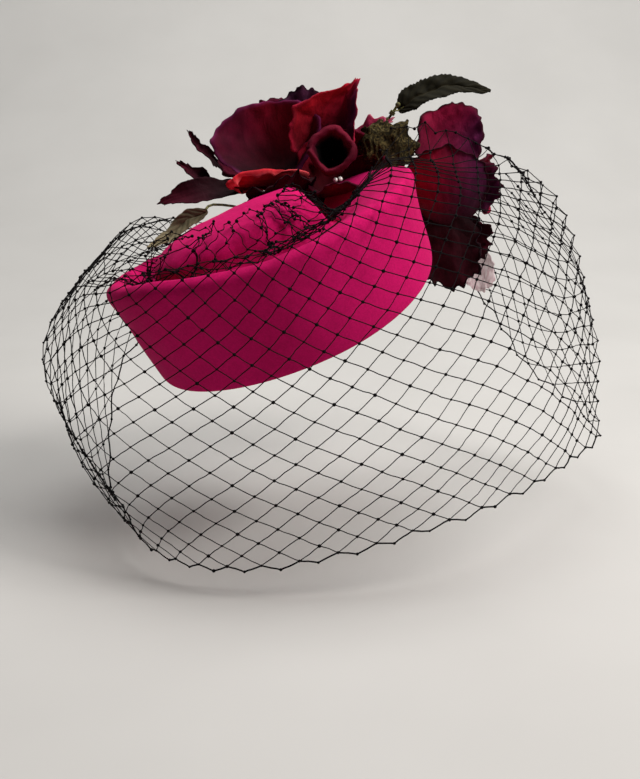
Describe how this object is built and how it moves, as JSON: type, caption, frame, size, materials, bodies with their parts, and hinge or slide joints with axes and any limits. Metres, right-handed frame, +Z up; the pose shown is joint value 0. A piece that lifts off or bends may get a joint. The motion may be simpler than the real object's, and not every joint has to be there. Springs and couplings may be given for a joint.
{
  "type": "fascinator headpiece",
  "caption": "Cocktail fascinator: tilted sculpted felt crown on a buckram base with a hair comb, velvet roses, leaves and a black birdcage veil.",
  "frame": {"origin": "middle of the crown's base opening, on the plane that the base rests on", "axes": "as it is worn: +Z up, -Y the way the wearer looks, +X the wearer's left; the crown's base plane is tilted 14 degrees towards the forehead and 24 degrees to the wearer's right"},
  "size_m": [0.261, 0.1923, 0.1933],
  "materials": {
    "felt": "matte wool felt with a soft sheen",
    "buckram": "stiff open weave, sized",
    "wire": "covered millinery wire",
    "ribbon": "ribbed grosgrain",
    "lining": "plain weave with a slight sheen",
    "thread_pink": "sewing thread",
    "thread_black": "sewing thread",
    "comb": "polished",
    "net": "knotted black veiling",
    "velvet_dark": "velvet, deep crimson with a purple cast",
    "velvet_bright": "velvet, crimson",
    "velvet_wine": "velvet, dark wine",
    "tape": "floral tape over wire",
    "leaf_dark": "velvet leaf, dark olive",
    "leaf_taupe": "velvet leaf, taupe",
    "leaf_moss": "crumpled velvet, moss",
    "organza": "sheer organza",
    "pearl": "pearl"
  },
  "bodies": {
    "crown": {"crown_cover": "felt", "buckram_base": "buckram", "edge_wire": "wire", "head_ribbon": "ribbon", "crown_lining": "lining", "ribbon_stitches": "thread_pink", "comb_loops": "thread_black", "flower_mount": "felt", "veil_back": "net", "veil_stitches": "thread_black", "veil_tacks": "thread_black", "rose_left_bud": "velvet_dark", "rose_left_calyx": "tape", "rose_left_stem": "tape", "rose_right_bud": "velvet_bright", "rose_right_calyx": "tape", "rose_right_stem": "tape", "leaf_post": "tape", "small_leaf": "leaf_taupe", "small_leaf_stem": "tape", "moss_leaf": "leaf_moss", "sepal_long": "velvet_wine", "sepal_upper": "velvet_wine", "sepal_lower": "velvet_wine", "organza_petal": "organza", "pin_heads": "pearl", "rose_left_petal_1": "velvet_dark", "rose_left_petal_2": "velvet_dark", "rose_left_petal_3": "velvet_dark", "rose_left_petal_4": "velvet_dark", "rose_left_petal_5": "velvet_dark", "rose_left_petal_6": "velvet_dark", "rose_left_petal_7": "velvet_dark", "rose_left_petal_8": "velvet_dark", "rose_left_petal_9": "velvet_dark", "rose_left_petal_10": "velvet_dark", "rose_right_petal_1": "velvet_bright", "rose_right_petal_2": "velvet_bright", "rose_right_petal_3": "velvet_bright", "rose_right_petal_4": "velvet_bright", "rose_right_petal_5": "velvet_bright", "rose_right_petal_6": "velvet_bright", "rose_right_petal_7": "velvet_bright", "rose_right_petal_8": "velvet_bright", "rose_right_petal_9": "velvet_bright"},
    "comb": {"comb": "comb"},
    "veil": {"veil_front": "net"},
    "leaf": {"large_leaf": "leaf_dark"}
  },
  "joints": [
    {"name": "comb_swing", "type": "hinge", "parent": "crown", "child": "comb", "pos_m": [0.00241, -0.04233, -0.0054], "axis": [0.9135, 0, 0.4067], "range_deg": [-35, 10]},
    {"name": "veil_lift", "type": "hinge", "parent": "crown", "child": "veil", "pos_m": [-0.02216, 0.00759, 0.03469], "axis": [-0.9407, -0.0116, -0.3392], "range_deg": [0, 20]},
    {"name": "leaf_swing", "type": "hinge", "parent": "crown", "child": "leaf", "pos_m": [0.04362, 0.04996, 0.0823], "axis": [0.5295, -0.2126, 0.8212], "range_deg": [-25, 25]}
  ]
}
